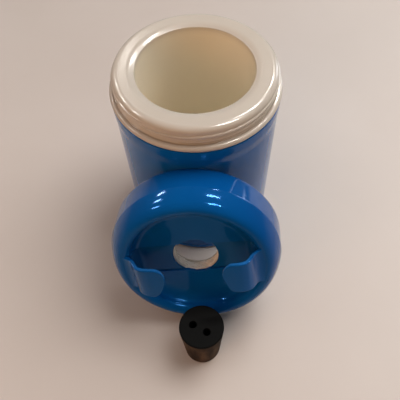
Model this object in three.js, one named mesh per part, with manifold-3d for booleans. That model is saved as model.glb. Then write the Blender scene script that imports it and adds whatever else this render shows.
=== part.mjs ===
// Wide-mouth foam-insulated jar adapted as a bench calorimeter: the open jar, its lid leaning
// against it, and the two-hole rubber stopper that plugs the hole cut through the lid.
// Millimetres, +Z up. The origin is on the jar's axis, on the flat face that it stands on.

import * as THREE from 'three';
import Module from 'manifold-3d';
import { mergeVertices } from 'three/addons/utils/BufferGeometryUtils.js';

const wasm = await Module();
wasm.setup();

// ---- driving dimensions -------------------------------------------------------------------

const GAP = 0.3; // left between touching pieces
const TURNS = 48; // facets round a full turn
const ARC = 3; // facets along a round stretch of a profile

const RIM_Z = 151.2; // jar height
const RIM_CREST_R = 47; // the rim is level from here outwards, and slopes into the mouth
const RIM_ROUND_R = 4.5; // outer rounding of the rim, across and down
const RIM_ROUND_Z = 3.5;
const LIP_DROP = 1.2; // the edge of the mouth lies this far below the rim
const MOUTH_R = 41.2; // radius of the opening
const FLANGE_R = 60; // the widest ring, under the thread
const FLANGE_LOW_Z = 132.9;
const FLANGE_TOP_Z = 137.2;
const NECK_R = 56.5;
const WALL = 2.4; // moulded wall of the shells
const LINER_WALL = 2.2;
const CAVITY_FLOOR_Z = 18;
const CAVITY_FLOOR_R = 39.6;

const BODY_R_AT_110 = 58.3; // outside of the jar, 40 mm below the rim
const BODY_TAPER = 0.025; // radius gained for each mm of height
const SHELL_LOW_Z = 6;
const SHELL_TOP_Z = FLANGE_LOW_Z - GAP;
const SHOULDER_Z = 116; // above this the shell flares out to meet the flange
const SHOULDER_RISE = 5;
const SHOULDER_STEP = 0.7;
const BASE_SPIGOT_Z = 12;

const THREAD_STARTS = [52, 232]; // degrees; two ridges start opposite each other
const THREAD_SPAN = 186; // degrees that each ridge runs, rising anticlockwise
const THREAD_LEAD = 8; // rise in a full turn
const THREAD_LOW_Z = 143.3;
const THREAD_HEIGHT = 0.9;
const STOP_START = 262; // a low ridge under the thread, where the lid comes to a stop
const STOP_SPAN = 96;
const STOP_LOW_Z = 139.9;
const STOP_HEIGHT = 0.6;

const LID_R = 60; // at the crease between the dome and the skirt
const SKIRT = 18.7; // skirt length below the crease
const CREST_R = 50.4;
const CREST_Z = 14.6; // height of the ring's crest over the crease
const DOME_RISE = 30; // vertical half-axis of the ellipse that the dome is part of
const LIP_RADIUS = 5.2; // inside of the ring's crest
const DISH_R = 35.3; // flat floor of the dish
const DISH_Z = 3.5;
const PLATE_Z = -7.7; // underside of the lid's inner plate
const PLATE_T = 1.6;
const HOLE_R = 15.7; // hole sawn through the lid

const SLOT_TURN = THREE.MathUtils.degToRad(8); // the former handle's direction on the lid
const SLOT_SHIFT = -1.1;
const SLOT_WIDTH = 25.7;
const SLOT_HALF_LENGTH = 44.6;
const SLOT_PLATE_DROP = 1; // the strip in the slot lies this far below the dish floor
const SLOT_PLATE_T = 1.4;

const BRIDGE_TOP_Z = 27.2; // top of the handle's arch, over the crease
const BRIDGE_T = 2.6;

const LID_TILT = THREE.MathUtils.degToRad(73.8); // lean of the lid, from lying flat
const LID_CENTRE = new THREE.Vector3(3.7, -93.5, 63.1);

const STOPPER_H = 39.7;
const STOPPER_TOP_R = 15.8;
const STOPPER_LOW_R = 13;
const STOPPER_EDGE = 0.7;
const STOPPER_AT = new THREE.Vector2(9.8, -139);
const BORE_R = 2.5;
const BORES = [new THREE.Vector2(-6.1, 1), new THREE.Vector2(4, -4)];

// ---- helpers ------------------------------------------------------------------------------

// A solid of revolution about Z. The outline runs anticlockwise in (radius, height).
function turned(outline, turns = TURNS) {
  const points = outline.getPoints(ARC);
  const closes = points[0].distanceTo(points.at(-1)) < 1e-6;
  if (!closes && points[0].x > 0) points.push(points[0].clone());
  return new THREE.LatheGeometry(points, turns).rotateX(Math.PI / 2);
}

function outlineOf(start) {
  return new THREE.Path().moveTo(start[0], start[1]);
}

function toSolid(geometry) {
  const bare = geometry.clone();
  bare.deleteAttribute('normal');
  bare.deleteAttribute('uv');
  const merged = mergeVertices(bare, 1e-4);
  const vertProperties = new Float32Array(merged.attributes.position.array);
  const triVerts = new Uint32Array(merged.index.array);
  return new wasm.Manifold(new wasm.Mesh({ numProp: 3, vertProperties, triVerts }));
}

function toGeometry(solid) {
  const mesh = solid.getMesh();
  const geometry = new THREE.BufferGeometry();
  geometry.setAttribute('position', new THREE.BufferAttribute(mesh.vertProperties, 3));
  geometry.setIndex(new THREE.BufferAttribute(mesh.triVerts, 1));
  geometry.computeVertexNormals();
  return geometry;
}

function extruded(shape, depth) {
  return new THREE.ExtrudeGeometry(shape, { depth, bevelEnabled: false, curveSegments: 4 });
}

// A band that runs along X: its section is drawn in (x, z) and carried across the width.
function band(shape, width) {
  return extruded(shape, width).translate(0, 0, -width / 2).rotateX(Math.PI / 2);
}

// Turn and shift a shape drawn along the slot on to the lid.
function alongSlot(geometry) {
  return geometry.translate(0, SLOT_SHIFT, 0).rotateZ(SLOT_TURN);
}

function rod(radius, lowZ, highZ, turns = 36) {
  const geometry = new THREE.CylinderGeometry(radius, radius, highZ - lowZ, turns);
  return geometry.rotateX(Math.PI / 2).translate(0, 0, (lowZ + highZ) / 2);
}

function plastic(colour, roughness) {
  return new THREE.MeshStandardMaterial({ color: colour, roughness, metalness: 0 });
}

const blue = 0x0d6cb9;
const cream = 0xe9e4d3;
const foamYellow = 0xe3d9bd;
const stripBlue = 0x1a5a9c;
const gasketGrey = 0xd8d4c6;
const rubberBlack = 0x1c1b1a;

function piece(name, geometry, colour, roughness) {
  const mesh = new THREE.Mesh(geometry, plastic(colour, roughness));
  mesh.name = name;
  return mesh;
}

function bodyRadius(z) {
  return BODY_R_AT_110 + BODY_TAPER * (z - 110);
}

// ---- the jar ------------------------------------------------------------------------------

function outerShell() {
  const step = SHOULDER_STEP;
  const outline = outlineOf([bodyRadius(SHELL_LOW_Z) - WALL, SHELL_LOW_Z]);
  outline.lineTo(bodyRadius(SHELL_LOW_Z), SHELL_LOW_Z);
  outline.lineTo(bodyRadius(SHOULDER_Z), SHOULDER_Z);
  outline.lineTo(bodyRadius(SHOULDER_Z) + step, SHOULDER_Z + SHOULDER_RISE);
  outline.lineTo(bodyRadius(SHELL_TOP_Z) + step, SHELL_TOP_Z);
  outline.lineTo(bodyRadius(SHELL_TOP_Z) - WALL, SHELL_TOP_Z);
  return turned(outline);
}

function baseCap() {
  const edge = bodyRadius(SHELL_LOW_Z);
  const inner = edge - WALL - GAP;
  const round = 3;
  const outline = outlineOf([0, 0]);
  outline.lineTo(30, 0);
  outline.lineTo(31, 1);
  outline.lineTo(34, 1);
  outline.lineTo(35, 0);
  outline.lineTo(edge - round, 0);
  outline.absarc(edge - round, round, round, -Math.PI / 2, 0, false);
  outline.lineTo(edge, SHELL_LOW_Z - GAP);
  outline.lineTo(inner, SHELL_LOW_Z - GAP);
  outline.lineTo(inner, BASE_SPIGOT_Z);
  outline.lineTo(inner - WALL, BASE_SPIGOT_Z);
  outline.lineTo(inner - WALL, WALL + 1);
  outline.lineTo(0, WALL + 1);
  return turned(outline);
}

// A ridge on the neck: a trapezium swept up a helix, with both ends faded and closed.
function neckRidge(start, span, lowZ, height) {
  const steps = Math.round((span / 360) * TURNS);
  const root = NECK_R - 0.8;
  const tip = NECK_R + height;
  const section = [[root, -1.5], [tip, -0.5], [tip, 0.5], [root, 1.5]];
  const positions = [];
  for (let i = 0; i <= steps; i += 1) {
    const along = i / steps;
    const turn = THREE.MathUtils.degToRad(start + along * span);
    const fade = Math.min(1, 12 * along, 12 * (1 - along));
    for (const [radius, rise] of section) {
      const r = root + (radius - root) * Math.max(fade, 0.1);
      const z = lowZ + along * (span / 360) * THREAD_LEAD + rise;
      positions.push(r * Math.cos(turn), r * Math.sin(turn), z);
    }
  }
  const faces = [0, 1, 2, 0, 2, 3];
  for (let i = 0; i < steps; i += 1) {
    for (let k = 0; k < 4; k += 1) {
      const a = 4 * i + k;
      const b = 4 * i + ((k + 1) % 4);
      faces.push(a, a + 4, b, b, a + 4, b + 4);
    }
  }
  const last = 4 * steps;
  faces.push(last, last + 2, last + 1, last, last + 3, last + 2);
  const geometry = new THREE.BufferGeometry();
  geometry.setAttribute('position', new THREE.Float32BufferAttribute(positions, 3));
  geometry.setIndex(faces);
  geometry.computeVertexNormals();
  return geometry;
}

// Liner, rim, neck and flange are one moulding. The neck is hollow and the foam fills it.
function threadedLiner() {
  const bead = (FLANGE_TOP_Z - FLANGE_LOW_Z) / 2;
  const locating = bodyRadius(SHELL_TOP_Z) - WALL - GAP;
  const fillet = 6;
  const outline = outlineOf([0, CAVITY_FLOOR_Z - LINER_WALL]);
  outline.lineTo(CAVITY_FLOOR_R - fillet, CAVITY_FLOOR_Z - LINER_WALL);
  outline.absarc(
    CAVITY_FLOOR_R - fillet, CAVITY_FLOOR_Z + fillet, fillet + LINER_WALL, -Math.PI / 2, 0, false);
  outline.lineTo(MOUTH_R + LINER_WALL, RIM_Z - 8);
  outline.lineTo(MOUTH_R + LINER_WALL, RIM_Z - LINER_WALL);
  outline.lineTo(NECK_R - LINER_WALL, RIM_Z - LINER_WALL);
  outline.lineTo(NECK_R - LINER_WALL, FLANGE_LOW_Z - 4);
  outline.lineTo(locating, FLANGE_LOW_Z - 4);
  outline.lineTo(locating, FLANGE_LOW_Z);
  outline.lineTo(FLANGE_R - 0.8, FLANGE_LOW_Z);
  outline.absarc(FLANGE_R - bead, FLANGE_LOW_Z + bead, bead, -Math.PI / 3, Math.PI / 2, false);
  outline.lineTo(NECK_R, FLANGE_TOP_Z);
  outline.lineTo(NECK_R, RIM_Z - RIM_ROUND_Z);
  outline.absellipse(
    NECK_R - RIM_ROUND_R, RIM_Z - RIM_ROUND_Z, RIM_ROUND_R, RIM_ROUND_Z, 0, Math.PI / 2, false);
  outline.lineTo(RIM_CREST_R, RIM_Z);
  outline.lineTo(MOUTH_R + 0.8, RIM_Z - LIP_DROP);
  outline.lineTo(MOUTH_R, RIM_Z - LIP_DROP - 0.8);
  outline.lineTo(CAVITY_FLOOR_R, CAVITY_FLOOR_Z + fillet);
  outline.absarc(
    CAVITY_FLOOR_R - fillet, CAVITY_FLOOR_Z + fillet, fillet, 0, -Math.PI / 2, true);
  outline.lineTo(0, CAVITY_FLOOR_Z);
  let solid = toSolid(turned(outline));
  for (const start of THREAD_STARTS) {
    solid = solid.add(toSolid(neckRidge(start, THREAD_SPAN, THREAD_LOW_Z, THREAD_HEIGHT)));
  }
  solid = solid.add(toSolid(neckRidge(STOP_START, STOP_SPAN, STOP_LOW_Z, STOP_HEIGHT)));
  return toGeometry(solid);
}

// Foam poured between the shell and the liner, up into the hollow neck.
function insulationFoam() {
  const spigot = bodyRadius(SHELL_LOW_Z) - 2 * WALL - 2 * GAP;
  const neck = NECK_R - LINER_WALL - GAP;
  const bore = MOUTH_R + LINER_WALL + GAP;
  const lowBore = CAVITY_FLOOR_R + LINER_WALL + GAP;
  const under = CAVITY_FLOOR_Z - LINER_WALL - GAP;
  const neckFoot = FLANGE_LOW_Z - 4 - GAP;
  const outline = outlineOf([0, WALL + 1 + GAP]);
  outline.lineTo(spigot, WALL + 1 + GAP);
  outline.lineTo(spigot, BASE_SPIGOT_Z + GAP);
  outline.lineTo(bodyRadius(BASE_SPIGOT_Z) - WALL - GAP, BASE_SPIGOT_Z + GAP);
  outline.lineTo(bodyRadius(neckFoot) - WALL - GAP, neckFoot);
  outline.lineTo(neck, neckFoot);
  outline.lineTo(neck, RIM_Z - LINER_WALL - GAP);
  outline.lineTo(bore, RIM_Z - LINER_WALL - GAP);
  outline.lineTo(bore, RIM_Z - 8);
  outline.lineTo(lowBore, CAVITY_FLOOR_Z + 6);
  outline.lineTo(lowBore - 1, under);
  outline.lineTo(0, under);
  return turned(outline);
}

// ---- the lid, drawn flat about its own axis, with z = 0 at the crease ------------------------

// The dome is part of an ellipse that starts at the crest and meets the skirt at an edge.
// inset is how far inside the outer face the curve lies.
function domeCurve(outline, inset, upwards) {
  const turn = Math.acos(1 - CREST_Z / DOME_RISE);
  const half = (LID_R - CREST_R) / Math.sin(turn) - inset;
  const rise = DOME_RISE - inset;
  const from = Math.PI / 2 - turn;
  const to = Math.PI / 2;
  const centre = CREST_Z - DOME_RISE;
  if (upwards) outline.absellipse(CREST_R, centre, half, rise, from, to, false);
  else outline.absellipse(CREST_R, centre, half, rise, to, from, true);
}

function lidShell() {
  const lip = LIP_RADIUS;
  const wallR = CREST_R - lip;
  const wallZ = CREST_Z - lip;
  const outline = outlineOf([0, DISH_Z - WALL]);
  // the underside, from the axis out to the skirt
  outline.lineTo(DISH_R + 2, DISH_Z - WALL);
  outline.absellipse(
    DISH_R + 2, wallZ, wallR + WALL - DISH_R - 2, wallZ - DISH_Z + WALL, -Math.PI / 2, 0, false);
  outline.absarc(CREST_R, wallZ, lip - WALL, Math.PI, Math.PI / 2, true);
  domeCurve(outline, WALL, false);
  outline.lineTo(LID_R - WALL, -SKIRT);
  // the skirt's edge, then back over the top
  outline.lineTo(LID_R, -SKIRT);
  outline.lineTo(LID_R, 0);
  domeCurve(outline, 0, true);
  outline.absarc(CREST_R, wallZ, lip, Math.PI / 2, Math.PI, false);
  outline.absellipse(DISH_R, wallZ, wallR - DISH_R, wallZ - DISH_Z, 0, -Math.PI / 2, true);
  outline.lineTo(0, DISH_Z);

  const slot = alongSlot(band(slotCut(0), SLOT_WIDTH));
  return toGeometry(
    toSolid(turned(outline))
      .add(toSolid(handleStub(leftStubPlan(), -1)))
      .add(toSolid(handleStub(rightStubPlan(), 1)))
      .subtract(toSolid(slot))
      .subtract(toSolid(rod(HOLE_R, -40, 40))));
}

// The way that the handle's core left through the dish: a flat slot whose ends scoop upwards.
function slotCut(grow) {
  const half = SLOT_HALF_LENGTH + grow;
  const shape = new THREE.Shape();
  shape.moveTo(-half + 9, DISH_Z - WALL - 1 - grow);
  shape.lineTo(half - 9, DISH_Z - WALL - 1 - grow);
  shape.quadraticCurveTo(half, DISH_Z - WALL - 1 - grow, half, 12);
  shape.lineTo(-half, 12);
  shape.quadraticCurveTo(-half, DISH_Z - WALL - 1 - grow, -half + 9, DISH_Z - WALL - 1 - grow);
  return shape;
}

// The strip that closes the slot, with upturned ends. The hole is wider than the strip, so it
// leaves two pieces: side is -1 for the left one and 1 for the right one.
function slotPlate(side) {
  const end = side * (SLOT_HALF_LENGTH - GAP);
  const t = side * SLOT_PLATE_T;
  const bend = side * 8;
  const top = DISH_Z - SLOT_PLATE_DROP;
  const low = top - SLOT_PLATE_T;
  const shape = new THREE.Shape();
  shape.moveTo(0, low);
  shape.lineTo(end - bend, low);
  shape.quadraticCurveTo(end, low, end, 11);
  shape.lineTo(end - t, 11);
  shape.quadraticCurveTo(end - t, top, end - bend - t, top);
  shape.lineTo(0, top);
  const strip = alongSlot(band(shape, SLOT_WIDTH - 2 * GAP));
  return toGeometry(toSolid(strip).subtract(toSolid(rod(HOLE_R, -40, 40))));
}

// What is left of the bridge handle: an arched strip that springs from the ring's crest.
// plan is its outline seen from above, and side is -1 on the left and 1 on the right.
function handleStub(plan, side) {
  const t = BRIDGE_T;
  const top = BRIDGE_TOP_Z;
  const arch = new THREE.Shape();
  arch.moveTo(side * 10, top);
  arch.lineTo(side * 28, top - 0.4);
  arch.bezierCurveTo(side * 37, top - 1, side * 39, top - 3, side * 42, 18);
  arch.quadraticCurveTo(side * 44, 14.6, side * 50, CREST_Z - 0.4);
  arch.lineTo(side * 48.6, CREST_Z - 1.7);
  arch.lineTo(side * 45.6, 12.5);
  arch.quadraticCurveTo(side * 41.4, 13.4, side * 39.4, 17.4);
  arch.bezierCurveTo(side * 37, top - 5, side * 35, top - t - 1, side * 28, top - t - 0.4);
  arch.lineTo(side * 10, top - t);
  const strip = toSolid(band(arch, 40));
  const cut = toSolid(extruded(plan, 60));
  return toGeometry(strip.intersect(cut)).translate(0, SLOT_SHIFT, 0).rotateZ(SLOT_TURN);
}

// The left stub ends in a full round, cut by hand.
function leftStubPlan() {
  const plan = new THREE.Shape();
  plan.moveTo(-52, -17);
  plan.quadraticCurveTo(-42, -13.6, -36, -13.4);
  plan.lineTo(-29, -13.8);
  plan.quadraticCurveTo(-24, -12, -21.4, -5);
  plan.quadraticCurveTo(-18.4, 2, -19.4, 6.5);
  plan.quadraticCurveTo(-21, 12.2, -28, 12.8);
  plan.lineTo(-36, 12.4);
  plan.quadraticCurveTo(-42, 12.4, -52, 16);
  return plan;
}

// The right stub is cut square at the top corner and slanting at the bottom one.
function rightStubPlan() {
  const plan = new THREE.Shape();
  plan.moveTo(52, 17);
  plan.quadraticCurveTo(43, 12.4, 36, 12.8);
  plan.lineTo(28, 13.8);
  plan.quadraticCurveTo(22, 12.6, 20.2, 6);
  plan.quadraticCurveTo(19.6, 2, 22.6, -7);
  plan.quadraticCurveTo(24, -12.6, 30, -13.2);
  plan.lineTo(36, -13.8);
  plan.quadraticCurveTo(43, -14.6, 52, -19);
  return plan;
}

// Foam that fills the ring and the space under the dish.
function lidFoam() {
  const low = PLATE_Z + PLATE_T + GAP;
  const lip = LIP_RADIUS;
  const wallR = CREST_R - lip;
  const wallZ = CREST_Z - lip;
  const inset = WALL + GAP;
  const outline = outlineOf([0, low]);
  outline.lineTo(LID_R - inset, low);
  outline.lineTo(LID_R - inset, -1);
  domeCurve(outline, inset, true);
  outline.absarc(CREST_R, wallZ, lip - inset, Math.PI / 2, Math.PI, false);
  outline.absellipse(
    DISH_R + 2, wallZ, wallR + inset - DISH_R - 2, wallZ - DISH_Z + inset, 0, -Math.PI / 2, true);
  outline.lineTo(0, DISH_Z - inset);
  const slot = alongSlot(band(slotCut(GAP), SLOT_WIDTH + 2 * GAP));
  return toGeometry(
    toSolid(turned(outline))
      .subtract(toSolid(slot))
      .subtract(toSolid(rod(HOLE_R - 0.1, -40, 40))));
}

// The plate that closes the lid from below, with an upturned edge inside the skirt.
function lidInnerPlate() {
  const edge = LID_R - WALL - GAP;
  const outline = outlineOf([HOLE_R, PLATE_Z]);
  outline.lineTo(edge, PLATE_Z);
  outline.lineTo(edge, PLATE_Z + PLATE_T);
  outline.lineTo(HOLE_R, PLATE_Z + PLATE_T);
  return turned(outline);
}

// The soft ring that beds on the jar's rim when the lid is screwed down.
function lidGasket() {
  const thick = 1.8;
  const top = PLATE_Z - GAP;
  const outline = outlineOf([MOUTH_R + 1.5, top - thick + 0.5]);
  outline.lineTo(MOUTH_R + 2, top - thick);
  outline.lineTo(NECK_R - 3.5, top - thick);
  outline.lineTo(NECK_R - 3, top - thick + 0.5);
  outline.lineTo(NECK_R - 3, top);
  outline.lineTo(MOUTH_R + 1.5, top);
  return turned(outline);
}

// ---- the stopper ----------------------------------------------------------------------------

function rubberStopper() {
  const e = STOPPER_EDGE;
  const outline = outlineOf([0, 0]);
  outline.lineTo(STOPPER_LOW_R - e, 0);
  outline.absarc(STOPPER_LOW_R - e, e, e, -Math.PI / 2, 0, false);
  outline.lineTo(STOPPER_TOP_R, STOPPER_H - e);
  outline.absarc(STOPPER_TOP_R - e, STOPPER_H - e, e, 0, Math.PI / 2, false);
  outline.lineTo(0, STOPPER_H);
  let solid = toSolid(turned(outline, 36));
  for (const bore of BORES) {
    const cutter = rod(BORE_R, -5, STOPPER_H + 5, 16).translate(bore.x, bore.y, 0);
    solid = solid.subtract(toSolid(cutter));
  }
  return toGeometry(solid);
}

// ---- the assembly ---------------------------------------------------------------------------

const jar = new THREE.Group();
jar.add(piece('outer_shell', outerShell(), blue, 0.25));
jar.add(piece('base_cap', baseCap(), blue, 0.3));
jar.add(piece('threaded_liner', threadedLiner(), cream, 0.35));
jar.add(piece('insulation_foam', insulationFoam(), foamYellow, 0.9));

const lid = new THREE.Group();
lid.add(piece('lid_shell', lidShell(), blue, 0.25));
lid.add(piece('slot_plate_left', slotPlate(-1), stripBlue, 0.3));
lid.add(piece('slot_plate_right', slotPlate(1), stripBlue, 0.3));
lid.add(piece('lid_foam', lidFoam(), foamYellow, 0.9));
lid.add(piece('lid_inner_plate', lidInnerPlate(), cream, 0.35));
lid.add(piece('lid_gasket', lidGasket(), gasketGrey, 0.7));
lid.position.copy(LID_CENTRE);
lid.rotation.x = LID_TILT;

const stopper = new THREE.Group();
stopper.add(piece('rubber_stopper', rubberStopper(), rubberBlack, 0.8));
stopper.position.set(STOPPER_AT.x, STOPPER_AT.y, 0);

const assembly = new THREE.Group();
assembly.add(jar, lid, stopper);

export default assembly;
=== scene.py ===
# %% [markdown]
# # An insulated jar, its leaning lid and a two-hole stopper
# The object is a wide-mouth food jar that someone has turned into a bench calorimeter. Its lid
# leans on the jar with a hole sawn through it, and the stopper that plugs the hole stands in
# front. The CAD frame gives every piece its place. This file gives each piece its fine surface
# and its finish, one cell at a time.

import math

import bmesh
import bpy
import numpy as np
from mathutils import Matrix, Vector


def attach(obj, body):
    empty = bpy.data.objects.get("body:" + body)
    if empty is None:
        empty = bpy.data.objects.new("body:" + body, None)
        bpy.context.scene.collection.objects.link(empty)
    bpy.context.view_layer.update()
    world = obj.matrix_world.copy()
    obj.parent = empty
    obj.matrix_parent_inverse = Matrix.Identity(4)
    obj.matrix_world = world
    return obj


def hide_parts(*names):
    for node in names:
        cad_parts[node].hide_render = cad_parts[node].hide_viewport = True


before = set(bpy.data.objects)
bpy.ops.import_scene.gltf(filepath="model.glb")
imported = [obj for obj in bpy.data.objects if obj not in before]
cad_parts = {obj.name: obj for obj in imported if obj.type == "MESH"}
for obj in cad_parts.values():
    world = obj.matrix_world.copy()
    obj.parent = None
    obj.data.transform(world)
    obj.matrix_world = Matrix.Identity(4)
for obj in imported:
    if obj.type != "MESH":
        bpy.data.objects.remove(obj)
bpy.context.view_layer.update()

# %% [markdown]
# ## Sizes
# These repeat the driving dimensions of the CAD source, in millimetres. Of them, only
# SHOULDER_RISE differs: the flare under the flange is spread over 10 mm here and over 5 mm in
# the solids, so that it shines without a hard line. The finer surfaces below are drawn in
# millimetres too, and turned into metres when they become a mesh.

# %% The driving dimensions
MM = 0.001
GAP = 0.3
RIM_Z = 151.2
RIM_CREST_R = 47
RIM_ROUND_R = 4.5
RIM_ROUND_Z = 3.5
LIP_DROP = 1.2
MOUTH_R = 41.2
FLANGE_R = 60
FLANGE_LOW_Z = 132.9
FLANGE_TOP_Z = 137.2
NECK_R = 56.5
WALL = 2.4
LINER_WALL = 2.2
CAVITY_FLOOR_Z = 18
CAVITY_FLOOR_R = 39.6
CAVITY_FILLET = 6
SHELL_LOW_Z = 6
SHELL_TOP_Z = FLANGE_LOW_Z - GAP
SHOULDER_Z = 116
SHOULDER_RISE = 10
SHOULDER_STEP = 0.7
BASE_SPIGOT_Z = 12
LID_R = 60
SKIRT = 18.7
CREST_R = 50.4
CREST_Z = 14.6
DOME_RISE = 30
LIP_RADIUS = 5.2
DISH_R = 35.3
DISH_Z = 3.5
PLATE_Z = -7.7
PLATE_T = 1.6
HOLE_R = 15.7
SLOT_TURN = math.radians(8)
SLOT_SHIFT = -1.1
SLOT_WIDTH = 25.7
SLOT_HALF_LENGTH = 44.6
SLOT_PLATE_DROP = 1
SLOT_PLATE_T = 1.4
BRIDGE_TOP_Z = 27.2
BRIDGE_T = 2.6
LID_TILT = math.radians(73.8)
LID_CENTRE = np.array([3.7, -93.5, 63.1])
STOPPER_H = 39.7
STOPPER_TOP_R = 15.8
STOPPER_LOW_R = 13
STOPPER_AT = np.array([9.8, -139, 0])
BORE_R = 2.5
BORES = [(-6.1, 1), (4, -4)]


def body_radius(z):
    """Outside of the jar: 58.3 mm at 110 mm up, and 0.025 mm more for each mm of height."""
    return 58.3 + 0.025 * (z - 110)


print("jar diameter at the foot, mm:", round(2 * body_radius(SHELL_LOW_Z), 1))

# %% [markdown]
# ## Helpers for shapes
# Nearly everything here is turned on a lathe or moulded round an axis, so one helper joins a
# grid of points with quads and another turns the result into a piece. A turned piece is a
# profile of radius and height, carried round a full turn.

# %% Grids, arcs and turned profiles
TURNS = 192


def grid_quads(rows, columns, wrap_rows=False, wrap_columns=False):
    """Each point of a rows x columns grid joined to the next along both ways as one quad."""
    i, j = np.meshgrid(
        np.arange(rows - (not wrap_rows)), np.arange(columns - (not wrap_columns)), indexing="ij"
    )
    k, m = (i + 1) % rows, (j + 1) % columns
    corners = [i * columns + j, i * columns + m, k * columns + m, k * columns + j]
    return np.stack(corners, -1).reshape(-1, 4)


def arc(centre, radii, start, stop, count=9):
    """Points centre + (a cos t, b sin t) for the angle t, in degrees, from start to stop."""
    t = np.radians(np.linspace(start, stop, count))
    return np.stack([centre[0] + radii[0] * np.cos(t), centre[1] + radii[1] * np.sin(t)], -1)


def line(start, stop, step=1.5):
    """Points on a straight line, no more than step apart, with both its ends."""
    start, stop = np.array(start, float), np.array(stop, float)
    count = max(2, int(np.ceil(np.linalg.norm(stop - start) / step)) + 1)
    return start + (stop - start) * np.linspace(0, 1, count)[:, None]


def bezier(points, count):
    """A Bezier curve within the hull of its control points, by blending neighbours repeatedly."""
    t = np.linspace(0, 1, count)[:, None]
    levels = [np.array(p, float) + 0 * t for p in points]
    while len(levels) > 1:
        levels = [a * (1 - t) + b * t for a, b in zip(levels, levels[1:])]
    return levels[0]


def joined(*stretches):
    """Stretches of a profile one after another, without the points that they share."""
    points = np.concatenate([np.array(s, float).reshape(-1, 2) for s in stretches])
    apart = np.linalg.norm(np.diff(points, axis=0), axis=1) > 1e-6
    return points[np.concatenate([[True], apart])]


def round_the_turn(profile, turns=TURNS):
    """Radius and height grids: each profile point repeated at every angle of the turn."""
    angle = np.arange(turns) * 2 * np.pi / turns
    radius = np.repeat(profile[:, :1], turns, axis=1)
    height = np.repeat(profile[:, 1:], turns, axis=1)
    return radius, height, angle


def turned(radius, height, angle):
    """x = r cos t, y = r sin t, z = height, for every point of the profile and every angle t."""
    return np.stack([radius * np.cos(angle), radius * np.sin(angle), height], -1)


def waves(u, v, seed, count=40, finest=30):
    """Uneven but smooth: a sum of cosines of whole numbers of waves in u and in v, whose
    heights fall as they get finer. It repeats after 2 pi, so it closes round a turn."""
    rng = np.random.default_rng(seed)
    k, m = rng.integers(1, finest, count), rng.integers(-finest, finest, count)
    phase = rng.uniform(0, 2 * np.pi, count)
    size = 1 / np.hypot(k, m)
    total = sum(s * np.cos(a * u + b * v + p) for s, a, b, p in zip(size, k, m, phase))
    return total / np.sqrt((size**2).sum() / 2)


print("a full turn has", TURNS, "facets")

# %% [markdown]
# A piece's points go straight to their place in the shared frame, so its object stays at the
# origin. The faces are turned outwards by the sign of the volume that they enclose.

# %% Turn points into pieces
def lid_place(points):
    """From the lid's own frame, drawn flat, to its place: tilted about X, then moved."""
    c, s = math.cos(LID_TILT), math.sin(LID_TILT)
    x, y, z = points[..., 0], points[..., 1], points[..., 2]
    return np.stack([x, y * c - z * s, y * s + z * c], -1) + LID_CENTRE


def lid_own(points):
    """The way back, from the shared frame to the lid's own."""
    c, s = math.cos(LID_TILT), math.sin(LID_TILT)
    x, y, z = np.moveaxis(points - LID_CENTRE, -1, 0)
    return np.stack([x, y * c + z * s, z * c - y * s], -1)


def bare_mesh(name, points, faces):
    """A mesh object from points in mm and faces, with doubled points merged."""
    mesh = bpy.data.meshes.new(name)
    mesh.from_pydata((points.reshape(-1, 3) * MM).tolist(), [], [list(map(int, f)) for f in faces])
    bm = bmesh.new()
    bm.from_mesh(mesh)
    bmesh.ops.remove_doubles(bm, verts=bm.verts, dist=1e-6)
    bmesh.ops.dissolve_degenerate(bm, edges=bm.edges, dist=1e-7)
    if bm.calc_volume(signed=True) < 0:
        bmesh.ops.reverse_faces(bm, faces=bm.faces)
    bm.to_mesh(mesh)
    bm.free()
    obj = bpy.data.objects.new(name, mesh)
    bpy.context.scene.collection.objects.link(obj)
    return obj


def combined(obj, other, how):
    """obj joined with or cut by the closed mesh other, which is used up."""
    modifier = obj.modifiers.new(how.lower(), "BOOLEAN")
    modifier.operation = how
    modifier.solver = "EXACT"
    modifier.object = other
    bpy.context.view_layer.update()
    result = bpy.data.meshes.new_from_object(
        obj.evaluated_get(bpy.context.evaluated_depsgraph_get())
    )
    obj.modifiers.clear()
    obj.data = result
    bpy.data.objects.remove(other)
    return obj


def places(obj):
    """The mesh's points in mm, as an array."""
    co = np.empty(len(obj.data.vertices) * 3, np.float32)
    obj.data.vertices.foreach_get("co", co)
    return co.reshape(-1, 3) / MM


def mark(obj, name, values):
    """A number on each point, from 0 to 1, that a material can read."""
    attribute = obj.data.attributes.new(name, "FLOAT", "POINT")
    attribute.data.foreach_set("value", np.clip(values, 0, 1).astype(np.float32))


def finished(obj, material, body, replaced, sharp=32):
    """Smooth shading with the sharp edges kept, a material, and the body it rides on."""
    obj.data.shade_smooth()
    obj.data.set_sharp_from_angle(angle=math.radians(sharp))
    obj.data.materials.clear()
    obj.data.materials.append(material)
    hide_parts(*replaced)
    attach(obj, body)
    size = places(obj).max(0) - places(obj).min(0)
    print(obj.name, len(obj.data.polygons), "faces,", [round(float(s), 1) for s in size], "mm")
    return obj


def closed_turn(name, profile, place=lambda points: points):
    """A turned solid whose profile is a loop that doesn't touch the axis."""
    radius, height, angle = round_the_turn(profile)
    points = place(turned(radius, height, angle))
    return bare_mesh(name, points, grid_quads(len(profile), TURNS, True, True))


def poled_turn(name, profile, place=lambda points: points):
    """A turned solid whose profile starts and ends on the axis."""
    radius, height, angle = round_the_turn(profile)
    points = place(turned(radius, height, angle))
    return bare_mesh(name, points, grid_quads(len(profile), TURNS, False, True))


# %% [markdown]
# ## Helpers for materials
# Colours are written as sRGB hex and turned to linear light once. One function adds a node
# with its settings and its links, which keeps each material readable as a short recipe.

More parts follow.
